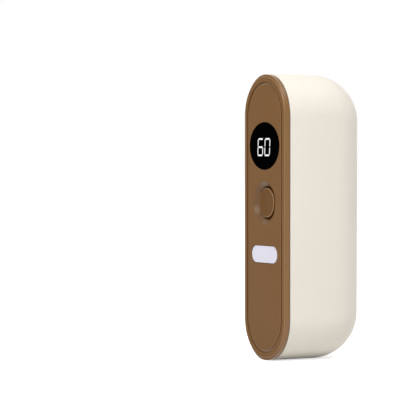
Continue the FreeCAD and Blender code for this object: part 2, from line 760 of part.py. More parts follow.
# Cell: drawn steel can with a raised positive terminal at the top
cell = turned("cell", "XZ_Plane", [
    ("0", "0"),
    ("cell_diameter / 2 - cell_edge", "0"),
    ("cell_diameter / 2", "cell_edge"),
    ("cell_diameter / 2", "cell_length - cell_edge"),
    ("cell_diameter / 2 - cell_edge", "cell_length"),
    ("terminal_diameter / 2", "cell_length"),
    ("terminal_diameter / 2", "cell_length + insulator_thick"),
    ("0", "cell_length + insulator_thick"),
])
cell_foot = f"({middle} - cell_length / 2)"
cell_head = f"({middle} + cell_length / 2)"
place(cell, "0", cell_axis, cell_foot)
keep("battery_cell", cell)
ring_blank = rod("ring_blank", "insulator_diameter", "insulator_thick", ("0", cell_axis, cell_head), upright=True)
ring_hole = rod("ring_hole", "terminal_diameter + 2 * insulator_gap", "insulator_thick + 2 * overrun",
                ("0", cell_axis, f"{cell_head} - overrun"), upright=True)
keep("cell_insulator", cut("ring", ring_blank, ring_hole))
tab_size = ("tab_width", "tab_length", "tab_thick")
tab_corner = ("-tab_width / 2", f"{cell_axis} - tab_length / 2")
positive_face = f"({cell_head} + insulator_thick)"
negative_face = f"({cell_foot} - tab_thick)"
keep("positive_tab", block("top_tab", tab_size, (*tab_corner, positive_face)))
keep("negative_tab", block("bottom_tab", tab_size, (*tab_corner, negative_face)))

# Carrier: plate behind the board with rails, three saddles and two end walls round the cell
carrier_top = f"({positive_face} + tab_thick + end_clearance)"
carrier_bottom = f"({negative_face} - end_clearance)"
cradle = f"{cell_axis} - {carrier_back}"
lead_y = f"({cell_axis} - tab_length / 2 + lead_diameter)"
half_carrier = "-carrier_width / 2"
plate = block("plate", ("carrier_width", "carrier_plate", f"{carrier_top} - {carrier_bottom} + 2 * carrier_end"),
              (half_carrier, carrier_face, f"{carrier_bottom} - carrier_end"))
rails = [block("rail", ("carrier_rail", "carrier_rail_height", f"{carrier_top} - {carrier_bottom}"),
               (f"{side} * (carrier_width - carrier_rail) / 2 - carrier_rail / 2", carrier_back, carrier_bottom))
         for side in SIDES]
saddles = [block("saddle", ("carrier_width", cradle, "saddle_thick"),
                 (half_carrier, carrier_back, f"{middle} + {number} * saddle_pitch - saddle_thick / 2"))
           for number in (-1, 0, 1)]
end_walls = [block("end_wall", ("carrier_width", cradle, "carrier_end"), (half_carrier, carrier_back, z))
             for z in (carrier_top, f"{carrier_bottom} - carrier_end")]
spacers = [rod("spacer", "boss_diameter", "carrier_standoff", (x, board_back, z)) for x, z in screw_places]
cell_room = rod("cell_room", "cell_diameter + 2 * cell_clearance", f"{carrier_top} - {carrier_bottom}",
                ("0", cell_axis, carrier_bottom), upright=True)
screw_holes = [rod("screw_hole", "screw_diameter + 2 * screw_gap",
                   "carrier_standoff + carrier_plate + 2 * overrun", (x, f"{board_back} - overrun", z))
               for x, z in screw_places]
notches = [block("notch", ("lead_diameter + 2 * lead_notch",
                           f"{lead_y} + lead_diameter / 2 + lead_notch - {carrier_back}", "carrier_end + 2 * overrun"),
                 ("-lead_diameter / 2 - lead_notch", carrier_back, z))
           for z in (f"{carrier_top} - overrun", f"{carrier_bottom} - carrier_end - overrun")]
carrier_full = fuse("carrier_full", plate, *rails, *saddles, *end_walls, *spacers)
keep("cell_carrier", cut("carrier", carrier_full, cell_room, *screw_holes, *notches))

# Screws: heads on the carrier's plate, tips in the bezel's bosses
screws = []
for x, z in screw_places:
    shank = rod("shank", "screw_diameter", "screw_length", (x, screw_tip, z))
    head = rod("head", "screw_head_diameter", "screw_head_height", (x, carrier_back, z))
    screws.append(fuse("screw", shank, head))
keep("frame_screws", group("screws", screws))

# Foam strip between the cell and the rear of the pod
pad_front = f"({cell_axis} + cell_diameter / 2 + pad_gap)"
pad_reach = f"(rear_round - wall) * sqrt(1 - (pad_width / (2 * {inner_side})) ^ 2)"
keep("cell_pad", block("foam", ("pad_width", f"{pad_reach} - cell_diameter / 2 - 2 * pad_gap", "pad_height"),
                       ("-pad_width / 2", pad_front, f"{middle} - pad_height / 2")))

# Heating: an aluminium plate on each flat inner side and a film heater on the plate
spreader_front = f"({front} + spreader_start)"
spreader_width = f"({cell_axis} - {spreader_front})"
spreader_z = f"{middle} - spreader_height / 2"
film_face = f"({inner_side} - spreader_thick - film_thick)"
for side, hand in zip(SIDES, ("left", "right")):
    plate_x = f"{side} * ({inner_side} - spreader_thick / 2) - spreader_thick / 2"
    film_x = f"{side} * ({film_face} + film_thick / 2) - film_thick / 2"
    keep(f"heat_spreader_{hand}", block(f"spreader_{hand}", ("spreader_thick", spreader_width, "spreader_height"),
                                        (plate_x, spreader_front, spreader_z)))
    keep(f"heater_film_{hand}", block(f"film_{hand}",
                                      ("film_thick", f"{spreader_width} - 2 * film_margin",
                                       "spreader_height - 2 * film_margin"),
                                      (film_x, f"{spreader_front} + film_margin", f"{spreader_z} + film_margin")))

# Sensor on the right film and cut-off on the left one, in the gap between board and carrier
sensor_y = f"({carrier_face} - sensor_width - flange_gap)"
keep("temperature_sensor", block("sensor", ("sensor_thick", "sensor_width", "sensor_length"),
                                 (f"{film_face} - sensor_thick", sensor_y, f"{middle} + sensor_above")))
keep("thermal_cutoff", block("cutoff", ("sensor_thick", "sensor_width", "cutoff_length"),
                             (f"-{film_face}", sensor_y, f"{middle} + sensor_above")))


# Leads: round wire of straight runs joined by tangent arcs


def bent_lead(diameter, bend, start, corner, end):
    """Wire from start by one rounded corner to end."""
    arriving = (corner - start).normalize()
    leaving = (end - corner).normalize()
    arc_start = corner - arriving * bend
    arc_end = corner + leaving * bend
    arc_middle = corner + (leaving - arriving) * bend * (1 - math.sqrt(1 / 2))
    path = Part.Wire([Part.LineSegment(start, arc_start).toShape(),
                      Part.Arc(arc_start, arc_middle, arc_end).toShape(),
                      Part.LineSegment(arc_end, end).toShape()])
    profile = Part.Wire([Part.makeCircle(diameter / 2, start, arriving)])
    return path.makePipeShell([profile], True, True)


def point(x, y, z):
    """Place from three formulas."""
    return FreeCAD.Vector(value(x), value(y), value(z))


for label, tab_face, way in (("battery_lead_positive", f"{positive_face} + tab_thick", "+"),
                             ("battery_lead_negative", negative_face, "-")):
    turn_z = f"{tab_face} {way} lead_rise"
    keep(label, made(label, bent_lead(value("lead_diameter"), value("lead_bend"), point("0", lead_y, tab_face),
                                      point("0", lead_y, turn_z), point("0", board_back, turn_z))))

lead_x = f"({film_face} - fine_lead_reach)"
lead_turn_y = f"({board_back} + fine_lead_bend + fine_lead_diameter / 2)"
for side, hand in zip(SIDES, ("left", "right")):
    pair = [bent_lead(value("fine_lead_diameter"), value("fine_lead_bend"),
                      point(f"{side} * {film_face}", lead_turn_y, z), point(f"{side} * {lead_x}", lead_turn_y, z),
                      point(f"{side} * {lead_x}", board_back, z))
            for z in (f"{middle} - fine_lead_below", f"{middle} - fine_lead_below - fine_lead_spread")]
    keep(f"heater_leads_{hand}", made(f"heater_leads_{hand}", Part.makeCompound(pair)))

# Build, check and write
doc.recompute()
for thing in doc.Objects:
    if "Invalid" in thing.State or "Error" in thing.State:
        raise RuntimeError(f"{thing.Name} did not build")
for piece in pieces:
    if piece.Shape.isNull() or not piece.Shape.isValid():
        raise RuntimeError(f"{piece.Label} has no valid shape")
os.makedirs("parts", exist_ok=True)
for piece in pieces:
    piece.Shape.exportStep(f"parts/{piece.Label}.step")
    print(piece.Label, len(piece.Shape.Solids), round(piece.Shape.Volume))
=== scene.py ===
import math

import bmesh
import bpy
from mathutils import Matrix, Vector


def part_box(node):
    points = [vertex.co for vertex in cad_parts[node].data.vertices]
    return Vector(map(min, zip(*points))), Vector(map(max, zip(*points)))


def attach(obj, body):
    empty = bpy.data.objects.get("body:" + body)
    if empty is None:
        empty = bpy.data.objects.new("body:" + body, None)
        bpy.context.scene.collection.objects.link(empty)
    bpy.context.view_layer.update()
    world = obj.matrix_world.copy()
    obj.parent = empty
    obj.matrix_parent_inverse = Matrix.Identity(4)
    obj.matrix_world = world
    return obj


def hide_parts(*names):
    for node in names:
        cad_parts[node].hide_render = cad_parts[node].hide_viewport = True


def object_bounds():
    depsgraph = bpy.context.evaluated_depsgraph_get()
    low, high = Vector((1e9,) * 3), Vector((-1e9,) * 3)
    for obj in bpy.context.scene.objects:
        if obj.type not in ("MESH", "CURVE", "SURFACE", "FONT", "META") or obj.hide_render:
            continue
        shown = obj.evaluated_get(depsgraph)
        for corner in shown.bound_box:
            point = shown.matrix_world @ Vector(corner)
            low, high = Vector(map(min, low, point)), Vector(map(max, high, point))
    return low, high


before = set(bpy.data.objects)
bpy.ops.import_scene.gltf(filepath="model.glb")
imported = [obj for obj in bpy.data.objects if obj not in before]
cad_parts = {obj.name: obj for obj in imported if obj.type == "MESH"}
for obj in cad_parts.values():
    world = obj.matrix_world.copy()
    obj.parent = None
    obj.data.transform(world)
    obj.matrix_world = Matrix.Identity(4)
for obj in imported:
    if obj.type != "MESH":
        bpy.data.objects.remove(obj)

cad_low, cad_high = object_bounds()
scene = bpy.context.scene

# Housing: the cream pod, one hollow moulding with flat sides, arched ends and a rounded rear.
# It is a hard plastic with a satin grain from the mould. The edge of its mouth is broken, and
# a hair's breadth of shadow gap parts it from the brown bezel.
pod_low, pod_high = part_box("main_housing")
MIDDLE = (pod_low.z + pod_high.z) / 2
HALF_WIDTH = pod_high.x
HALF_HEIGHT = pod_high.z - MIDDLE
FRONT_Y = cad_low.y
SEAM_Y = pod_low.y
REAR_Y = pod_high.y
ARCH_SHARE = 0.543
CLOSE_SHARE = 0.3754
DROP_SHARE = 0.465
CORNER_SHARE = 0.161
ARCH_RISE = ARCH_SHARE * 2 * HALF_WIDTH
CLOSE_Y = REAR_Y - CLOSE_SHARE * (REAR_Y - FRONT_Y)
DROP_Y = REAR_Y - DROP_SHARE * (REAR_Y - FRONT_Y)
CORNER_RISE = CORNER_SHARE * 2 * HALF_HEIGHT
REAR_STRIP = 0.0026
HOUSING_WALL = 0.0018
EDGE_BREAK = 0.00015
# How far back from its face, and in from its wall, each ring of a small rounded edge lies
EASED_SHARES = ((0, 1), (0.3, 0.3), (1, 0))
SEAM_GAP = 0.0002
REAR_STATIONS = 36
ARC_STEPS = 128


def rounded_ring(mesh, half_width, half_height, corner_width, corner_height, y, z=MIDDLE):
    """Edges of a closed ring at one depth: four quarter ellipses joined by straight runs."""
    half_step = math.pi / ARC_STEPS
    spread = 1 / math.cos(half_step)
    corners = Matrix.Diagonal((corner_width * spread, corner_height * spread, 1, 1))
    upright = Matrix.Translation((0, y, z)) @ Matrix.Rotation(math.pi / 2, 4, "X")
    ring = bmesh.ops.create_circle(mesh, segments=ARC_STEPS, radius=1,
                                   matrix=upright @ corners @ Matrix.Rotation(half_step, 4, "Z"))["verts"]
    for vert in ring:
        vert.co.x += math.copysign(half_width - corner_width, vert.co.x)
        vert.co.z += math.copysign(half_height - corner_height, vert.co.z - z)
    return list({edge for vert in ring for edge in vert.link_edges})


def outline_ring(mesh, outline, y, inset=0):
    """Ring of a standing outline of half-width, half-height and rise of its arches."""
    width, height, rise = [size - inset for size in outline]
    return rounded_ring(mesh, width, height, width, rise, y)


def join_rings(mesh, rings, apart=0.01):
    """Faces of the walls from each ring to the next. The rings stand well apart while they are joined."""
    corners = [list({vert for edge in ring for vert in edge.verts}) for ring in rings]
    for count, verts in enumerate(corners):
        bmesh.ops.translate(mesh, verts=verts, vec=(0, apart * count, 0))
    walls = [bmesh.ops.bridge_loops(mesh, edges=ring + following)["faces"]
             for ring, following in zip(rings, rings[1:])]
    for count, verts in enumerate(corners):
        bmesh.ops.translate(mesh, verts=verts, vec=(0, -apart * count, 0))
    return walls


def piece_of(mesh, name, *materials, sharp=35):
    """Object of a finished mesh, shaded smooth apart from its sharp edges."""
    data = bpy.data.meshes.new(name)
    mesh.to_mesh(data)
    mesh.free()
    data.shade_smooth()
    data.set_sharp_from_angle(angle=math.radians(sharp))
    for material in materials:
        data.materials.append(material)
    piece = bpy.data.objects.new(name, data)
    scene.collection.objects.link(piece)
    return piece


def moulded(name, colour, paler, roughness, ior, grain=2600, relief=0.25, uneven=0.05):
    """Moulded plastic: a faint drift of colour, uneven gloss and the fine grain of the mould."""
    material = bpy.data.materials.new(name)
    material.use_nodes = True
    nodes, links = material.node_tree.nodes, material.node_tree.links
    shader = nodes["Principled BSDF"]
    shader.inputs["IOR"].default_value = ior
    place = nodes.new("ShaderNodeTexCoord").outputs["Object"]
    drift = nodes.new("ShaderNodeTexNoise")
    drift.inputs["Scale"].default_value = 45
    drift.inputs["Detail"].default_value = 3
    tint = nodes.new("ShaderNodeMix")
    tint.data_type = "RGBA"
    tint.inputs["A"].default_value = (*colour, 1)
    tint.inputs["B"].default_value = (*paler, 1)
    fine = nodes.new("ShaderNodeTexNoise")
    fine.inputs["Scale"].default_value = grain
    fine.inputs["Detail"].default_value = 2
    gloss = nodes.new("ShaderNodeMapRange")
    gloss.inputs["To Min"].default_value = roughness - uneven
    gloss.inputs["To Max"].default_value = roughness + uneven
    bump = nodes.new("ShaderNodeBump")
    bump.inputs["Strength"].default_value = relief
    bump.inputs["Distance"].default_value = 0.00002
    for texture in (drift, fine):
        links.new(place, texture.inputs["Vector"])
    links.new(drift.outputs["Fac"], tint.inputs["Factor"])
    links.new(tint.outputs["Result"], shader.inputs["Base Color"])
    links.new(fine.outputs["Fac"], gloss.inputs["Value"])
    links.new(gloss.outputs["Result"], shader.inputs["Roughness"])
    links.new(fine.outputs["Fac"], bump.inputs["Height"])
    links.new(bump.outputs["Normal"], shader.inputs["Normal"])
    return material


pod_outline = (HALF_WIDTH, HALF_HEIGHT, ARCH_RISE)
shell = bmesh.new()
rings = [outline_ring(shell, pod_outline, SEAM_Y + SEAM_GAP / 2 + EDGE_BREAK * back, EDGE_BREAK * inset)
         for back, inset in EASED_SHARES]
rings.append(outline_ring(shell, pod_outline, DROP_Y))
# Towards the rear the ends drop along an ellipse, and later the sides close in along another
closing = math.sqrt(1 - (REAR_STRIP / 2 / HALF_WIDTH) ** 2)
for station in range(1, REAR_STATIONS + 1):
    depth = DROP_Y + (REAR_Y - DROP_Y) * math.sin(math.pi / 2 * station / REAR_STATIONS)
    closed = closing * max(0, (depth - CLOSE_Y) / (REAR_Y - CLOSE_Y))
    dropped = closing * (depth - DROP_Y) / (REAR_Y - DROP_Y)
    narrowing = math.sqrt(1 - closed ** 2)
    drop = CORNER_RISE * (1 - math.sqrt(1 - dropped ** 2))
    station_outline = (HALF_WIDTH * narrowing, HALF_HEIGHT - drop, ARCH_RISE * narrowing)
    rings.append(outline_ring(shell, station_outline, depth))
join_rings(shell, rings)
bmesh.ops.contextual_create(shell, geom=rings[-1])
bmesh.ops.recalc_face_normals(shell, faces=shell.faces)
cream_satin = moulded("cream_satin", (0.775, 0.725, 0.64), (0.805, 0.755, 0.675), roughness=0.5, ior=1.3)
housing = piece_of(shell, "pod_shell", cream_satin)
wall = housing.modifiers.new("wall", "SOLIDIFY")
wall.thickness = HOUSING_WALL
wall.offset = -1
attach(housing, "pod")
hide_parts("main_housing")

# Heat spreaders: a sheet of rolled aluminium inside each side wall, so that the whole side warms.
# The rolls leave fine lines along the sheet, and glue holds it to the plastic.
def rolled_metal(name, colour, roughness, along=(900, 900, 30), darker=0.85, uneven=0.08):
    """Metal with the fine lines of rolling or brushing, close together across them."""
    material = bpy.data.materials.new(name)
    material.use_nodes = True
    nodes, links = material.node_tree.nodes, material.node_tree.links
    shader = nodes["Principled BSDF"]
    shader.inputs["Metallic"].default_value = 1
    stretch = nodes.new("ShaderNodeMapping")
    stretch.inputs["Scale"].default_value = along
    lines = nodes.new("ShaderNodeTexNoise")
    lines.inputs["Scale"].default_value = 3
    tint = nodes.new("ShaderNodeMix")
    tint.data_type = "RGBA"
    tint.inputs["A"].default_value = (*[part * darker for part in colour], 1)
    tint.inputs["B"].default_value = (*colour, 1)
    gloss = nodes.new("ShaderNodeMapRange")
    gloss.inputs["To Min"].default_value = roughness - uneven
    gloss.inputs["To Max"].default_value = roughness + uneven
    links.new(nodes.new("ShaderNodeTexCoord").outputs["Object"], stretch.inputs["Vector"])
    links.new(stretch.outputs["Vector"], lines.inputs["Vector"])
    links.new(lines.outputs["Fac"], tint.inputs["Factor"])
    links.new(tint.outputs["Result"], shader.inputs["Base Color"])
    links.new(lines.outputs["Fac"], gloss.inputs["Value"])
    links.new(gloss.outputs["Result"], shader.inputs["Roughness"])
    return material


def finish_nodes(material, *names):
    """Give CAD nodes their finish."""
    for name in names:
        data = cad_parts[name].data
        data.materials.clear()
        data.materials.append(material)


rolled_aluminium = rolled_metal("rolled_aluminium", (0.78, 0.78, 0.78), roughness=0.35)
finish_nodes(rolled_aluminium, "heat_spreader_left", "heat_spreader_right")

# Heater films: amber polyimide with an etched foil track running to and fro inside it.
# Each film is stuck to its spreader.
def lay_tracks(material, colour, direction, closeness, edges, distortion=0):
    """Lay bands of foil over a material's own colour. The two edges say how wide and sharp they are."""
    nodes, links = material.node_tree.nodes, material.node_tree.links
    bands = nodes.new("ShaderNodeTexWave")
    bands.bands_direction = direction
    bands.inputs["Scale"].default_value = closeness
    bands.inputs["Distortion"].default_value = distortion
    ramp = nodes.new("ShaderNodeValToRGB")
    for end, position in enumerate(edges):
        ramp.color_ramp.elements[end].position = position
    foil = nodes.new("ShaderNodeMix")
    foil.data_type = "RGBA"
    foil.inputs["B"].default_value = (*colour, 1)
    links.new(nodes["Texture Coordinate"].outputs["Object"], bands.inputs["Vector"])
    links.new(bands.outputs["Fac"], ramp.inputs["Fac"])
    links.new(ramp.outputs["Color"], foil.inputs["Factor"])
    links.new(nodes["Mix"].outputs["Result"], foil.inputs["A"])
    links.new(foil.outputs["Result"], nodes["Principled BSDF"].inputs["Base Color"])


amber_film = moulded("amber_film", (0.60, 0.28, 0.04), (0.68, 0.36, 0.08),
                     roughness=0.3, ior=1.45, grain=1200, relief=0.1)
lay_tracks(amber_film, (0.30, 0.13, 0.03), direction="Z", closeness=130, edges=(0.48, 0.52))
finish_nodes(amber_film, "heater_film_left", "heater_film_right")

# Sensor and cut-off: a small epoxy bead that reads the heat and a fuse in a black moulded case.
# Both are stuck to the heater films.
black_moulding = moulded("black_moulding", (0.022, 0.022, 0.022), (0.035, 0.035, 0.036),
                         roughness=0.45, ior=1.45)
finish_nodes(black_moulding, "temperature_sensor", "thermal_cutoff")

# Bezel: the brown ring that snaps into the pod's mouth. Its band runs on from the pod to a small step,
# and inside the step a rim frames the panel, its rounded edge painted paler as a highlight. It is the same
# plastic as panel and button, satin on its face and smoother round the band, whose paler colour is partly
# painted light.
RIM_CUT = 0.00145
SEAM_REACH = 0.00013
STEP_DEPTH = 0.00028
STEP_SIDE = 0.00022
STEP_END = 0.0007
RIM_RISE = 0.0135
BAND_ROUND = 0.0001
EDGE_ROUND = 0.00026
ROUND_STEPS = 4
# A larger rounded edge in even steps: the first share falls from 1 to 0 while the second one rises
QUARTER_TURNS = [math.pi / 2 * step / ROUND_STEPS for step in range(ROUND_STEPS + 1)]
ROUND_SHARES = [(1 - math.sin(turn), 1 - math.cos(turn)) for turn in QUARTER_TURNS]
RIM_END = 0.003
RECESS_GAP = 0.00032
RECESS_ROUND = 0.00012
LEDGE_DEPTH = 0.00034
LEDGE_GAP = 0.00005
WELD_REACH = 1e-7
SATIN, POLISH_AND_LIGHT, RIM_HIGHLIGHT_PAINT, GROOVE_SHADE_PAINT = range(4)


def node_mesh(node):
    """Working copy of a CAD node's mesh with its loose triangles joined."""
    mesh = bmesh.new()
    mesh.from_mesh(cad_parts[node].data)
    bmesh.ops.remove_doubles(mesh, verts=mesh.verts, dist=WELD_REACH)
    return mesh


def even_piece(mesh, name, materials, node, body):
    """Visible piece for a node, with its flat faces shaded flat up to its rounded edges."""
    piece = piece_of(mesh, name, *materials)
    even = piece.modifiers.new("even_shading", "WEIGHTED_NORMAL")
    even.keep_sharp = True
    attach(piece, body)
    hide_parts(node)


def finish_walls(walls, finishes):
    """Give each wall between two rings the material of that number."""
    for wall, finish in zip(walls, finishes):
        for face in wall:
            face.material_index = finish


panel_low, panel_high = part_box("front_panel")
PANEL_WIDTH = panel_high.x
PANEL_HEIGHT = HALF_HEIGHT - RIM_END
rim_outline = (HALF_WIDTH - STEP_SIDE, HALF_HEIGHT - STEP_END, RIM_RISE)
panel_outline = (PANEL_WIDTH, PANEL_HEIGHT, PANEL_WIDTH)
# The solid's rim is cut off, and band, rim and recess are built up ring by ring between the cut edges
bezel = node_mesh("front_bezel")
rear_edge = [vert for vert in bezel.verts if abs(vert.co.y - SEAM_Y) < SEAM_REACH]
bmesh.ops.translate(bezel, verts=rear_edge, vec=(0, -SEAM_GAP / 2, 0))
bmesh.ops.bisect_plane(bezel, geom=[*bezel.verts, *bezel.edges, *bezel.faces],
                       plane_co=(0, FRONT_Y + RIM_CUT, 0), plane_no=(0, -1, 0), clear_outer=True)
inside, outside = [], []
for edge in [edge for edge in bezel.edges if edge.is_boundary]:
    place = (edge.verts[0].co + edge.verts[1].co) / 2
    reach = math.hypot(place.x, max(0, abs(place.z - MIDDLE) - PANEL_HEIGHT + PANEL_WIDTH))
    (inside if reach < PANEL_WIDTH + 2 * RECESS_GAP else outside).append(edge)
step_y = FRONT_Y + STEP_DEPTH
band = [outside] + [outline_ring(bezel, pod_outline, step_y + BAND_ROUND * back, BAND_ROUND * inset)
                    for back, inset in reversed(EASED_SHARES)]
rim = [outline_ring(bezel, rim_outline, step_y)]
rim += [outline_ring(bezel, rim_outline, FRONT_Y + EDGE_ROUND * back, EDGE_ROUND * inset)
        for back, inset in ROUND_SHARES]
recess = [outline_ring(bezel, panel_outline, FRONT_Y + RECESS_ROUND * back, -RECESS_GAP - RECESS_ROUND * out)
          for back, out in EASED_SHARES]
recess += [outline_ring(bezel, panel_outline, FRONT_Y + LEDGE_DEPTH, -gap) for gap in (RECESS_GAP, LEDGE_GAP)]
recess.append(inside)
for face in bezel.faces:
    face.material_index = POLISH_AND_LIGHT if face.calc_center_median().y < SEAM_Y else SATIN
# The rim's rounded edge is painted paler as a highlight, and the recess walls round the panel are painted
# dark as shade
band_finishes = [POLISH_AND_LIGHT] * (len(band) - 1)
rim_finishes = [SATIN, POLISH_AND_LIGHT] + [RIM_HIGHLIGHT_PAINT] * ROUND_STEPS
recess_finishes = [SATIN, SATIN, SATIN, GROOVE_SHADE_PAINT, SATIN, GROOVE_SHADE_PAINT]
finish_walls(join_rings(bezel, [*band, *rim, *recess]), band_finishes + rim_finishes + recess_finishes)
bmesh.ops.recalc_face_normals(bezel, faces=bezel.faces)
brown_satin = moulded("brown_satin", (0.162, 0.0725, 0.0160), (0.179, 0.0825, 0.0210), roughness=0.4, ior=1.2)
# Polished brown: real gloss, with a paler colour that is partly painted light on the band and on the panel's
# ledge
polish_and_painted_light = moulded("polish_and_painted_light", (0.212, 0.103, 0.030), (0.234, 0.117, 0.0365), roughness=0.3, ior=1.45)
# Paler brown painted on rounded edges as a highlight
painted_edge_highlight = moulded("painted_edge_highlight", (0.25, 0.126, 0.040), (0.28, 0.144, 0.048), roughness=0.3, ior=1.45)
# Dark brown painted on the groove walls as shade
painted_groove_shade = moulded("painted_groove_shade", (0.085, 0.040, 0.013), (0.100, 0.047, 0.016), roughness=0.6, ior=1.2)
even_piece(bezel, "bezel_ring", (brown_satin, polish_and_painted_light, painted_edge_highlight, painted_groove_shade),
           "front_bezel", "pod")

# Glue film: the double-sided sheet that holds panel and lens to the bezel's floor.
# It is a milky clear acrylic.
milky_glue = moulded("milky_glue", (0.62, 0.62, 0.56), (0.74, 0.74, 0.69),
                     roughness=0.6, ior=1.4, grain=1500, relief=0.1)
finish_nodes(milky_glue, "panel_adhesive")

# Panel: the flat brown inlay, with the window, the dimple round the button and the label's pocket.
# It is moulded in the bezel's plastic and glued down inside the bezel's rim. Its edge is stepped,
# so that a shallow line parts the two.
PANEL_FACE = panel_low.y
PANEL_BACK = panel_high.y
PANEL_ROUND = 0.0001
LEDGE = 0.0004
LENS_WIDTH = 0.02043
LENS_HEIGHT = 0.0166
LENS_GAP = 0.00008
DIMPLE_RADIUS = 0.0075
DIMPLE_DEPTH = 0.0013
DIMPLE_STEPS = 12
CAP_HOLE = 0.0059
POCKET_WIDTH = 0.0177
POCKET_HEIGHT = 0.0063
SOCKET_WIDTH = 0.00954
SOCKET_HEIGHT = 0.00386
FLAT, DISHED, EDGE_HIGHLIGHT_PAINT, WALL_SHADOW_PAINT, LEDGE_LIGHT_PAINT = range(5)


def middle_of(node):
    """Centre of a node's box."""
    low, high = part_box(node)
    return (low + high) / 2


def lying_ring(mesh, width, height, y, z):
    """Ring of a pill that lies across the panel."""
    return rounded_ring(mesh, width / 2, height / 2, height / 2, height / 2, y, z)


def oval_ring(mesh, width, height, y, z):
    """Ring of an oval across the panel."""
    return rounded_ring(mesh, width / 2, height / 2, width / 2, height / 2, y, z)


window_z = middle_of("display_lens").z
button_z = middle_of("power_button").z
port_z = middle_of("port_label").z
POCKET_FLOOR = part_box("port_label")[1].y
# Each feature runs in rings from the face to the back, and the faces between the features are filled last
inlay = bmesh.new()
border = [outline_ring(inlay, panel_outline, PANEL_FACE + PANEL_ROUND * back, LEDGE + PANEL_ROUND * inset)
          for inset, back in ROUND_SHARES]
border += [outline_ring(inlay, panel_outline, y, inset)
           for y, inset in ((FRONT_Y + LEDGE_DEPTH, LEDGE), (FRONT_Y + LEDGE_DEPTH, 0), (PANEL_BACK, 0))]
window = [oval_ring(inlay, LENS_WIDTH + 2 * LENS_GAP, LENS_HEIGHT + 2 * LENS_GAP, y, window_z)
          for y in (PANEL_FACE, PANEL_BACK)]
dimple = []
for step in range(DIMPLE_STEPS + 1):
    share = step / DIMPLE_STEPS
    radius = DIMPLE_RADIUS + (CAP_HOLE - DIMPLE_RADIUS) * share
    dimple.append(oval_ring(inlay, 2 * radius, 2 * radius, PANEL_FACE + DIMPLE_DEPTH * share, button_z))
dimple.append(oval_ring(inlay, 2 * CAP_HOLE, 2 * CAP_HOLE, PANEL_BACK, button_z))
pocket = [lying_ring(inlay, POCKET_WIDTH, POCKET_HEIGHT, y, port_z) for y in (PANEL_FACE, POCKET_FLOOR)]
pocket += [lying_ring(inlay, SOCKET_WIDTH, SOCKET_HEIGHT, y, port_z) for y in (POCKET_FLOOR, PANEL_BACK)]
# The panel's rounded edge is painted paler as a highlight, its wall in the groove is painted dark as shadow,
# and its ledge gets the paler polished brown as painted light
for rings, finishes in ((border, [EDGE_HIGHLIGHT_PAINT] * ROUND_STEPS + [WALL_SHADOW_PAINT, LEDGE_LIGHT_PAINT, FLAT]), (window, [FLAT]),
                        (dimple, [DISHED] * DIMPLE_STEPS + [FLAT]), (pocket, [FLAT, FLAT, FLAT])):
    finish_walls(join_rings(inlay, rings), finishes)
for end in (0, -1):
    bmesh.ops.triangle_fill(inlay, use_beauty=True,
                            edges=[edge for rings in (border, window, dimple, pocket) for edge in rings[end]])
bmesh.ops.recalc_face_normals(inlay, faces=inlay.faces)
brown_dish = moulded("brown_dish", (0.134, 0.059, 0.0138), (0.147, 0.067, 0.0172), roughness=0.32, ior=1.4)
# Near-black brown painted on the panel's wall in the groove as shadow
painted_wall_shadow = moulded("painted_wall_shadow", (0.034, 0.016, 0.006), (0.044, 0.021, 0.008), roughness=0.6, ior=1.2)
even_piece(inlay, "inlaid_panel", (brown_satin, brown_dish, painted_edge_highlight, painted_wall_shadow, polish_and_painted_light),
           "front_panel", "pod")

# Lens: the oval window over the display, cut from a smoked black acrylic with a dull face.
# It is glued in flush with the panel and fills the panel's opening.
OUTER_SHARE = 0.95
black_window = moulded("black_window", (0.0004, 0.0004, 0.0004), (0.0006, 0.0006, 0.0006),
                       roughness=0.3, ior=1.01, grain=900, relief=0.05)
# The window is widened at its outer edge only, so that the digits' cut-outs keep their place
oval = node_mesh("display_lens")
lens_low, lens_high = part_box("display_lens")
outer_edge = [vert for vert in oval.verts
              if math.hypot(vert.co.x / lens_high.x, (vert.co.z - window_z) * 2 / LENS_HEIGHT) > OUTER_SHARE]
bmesh.ops.scale(oval, verts=outer_edge, vec=(LENS_WIDTH / (lens_high.x - lens_low.x), 1, 1))
even_piece(oval, "display_window", (black_window,), "display_lens", "pod")

# Digits: seven clear bars to a digit, let into the lens and lit from behind.
# They read sixty: one bar of the six and one of the nought stay dark.
BAR_FACES = 20
DARK_BARS = (1, 13)
UPRIGHT_SHARE = 0.54
LEVEL_SHARE = 0.9
LENGTH_SHARE = 0.95
WHITE = (1, 1, 1, 1)
white_light = moulded("white_light", (0.02, 0.02, 0.02), (0.03, 0.03, 0.03),
                      roughness=0.4, ior=1.04, grain=900, relief=0.05)
nodes, links = white_light.node_tree.nodes, white_light.node_tree.links
glow = nodes.new("ShaderNodeMix")
glow.data_type = "RGBA"
glow.inputs["A"].default_value = (0.90, 0.91, 0.93, 1)
glow.inputs["B"].default_value = WHITE
links.new(nodes["Noise Texture"].outputs["Fac"], glow.inputs["Factor"])
links.new(glow.outputs["Result"], nodes["Principled BSDF"].inputs["Emission Color"])
nodes["Principled BSDF"].inputs["Emission Strength"].default_value = 1
# Each bar is made slimmer about its own middle
bars = node_mesh("digit_segments")
bars.faces.ensure_lookup_table()
for first in range(0, len(bars.faces), BAR_FACES):
    faces = bars.faces[first:first + BAR_FACES]
    corners = list({vert for face in faces for vert in face.verts})
    places = [vert.co for vert in corners]
    middle = sum(places, Vector()) / len(places)
    width = max(place.x for place in places) - min(place.x for place in places)
    height = max(place.z for place in places) - min(place.z for place in places)
    slim = (UPRIGHT_SHARE, 1, LENGTH_SHARE) if height > width else (LENGTH_SHARE, 1, LEVEL_SHARE)
    bmesh.ops.scale(bars, verts=corners, vec=slim, space=Matrix.Translation(-middle))
    for face in faces:
        face.material_index = int(first // BAR_FACES in DARK_BARS)
even_piece(bars, "digit_bars", (white_light, black_window), "digit_segments", "pod")

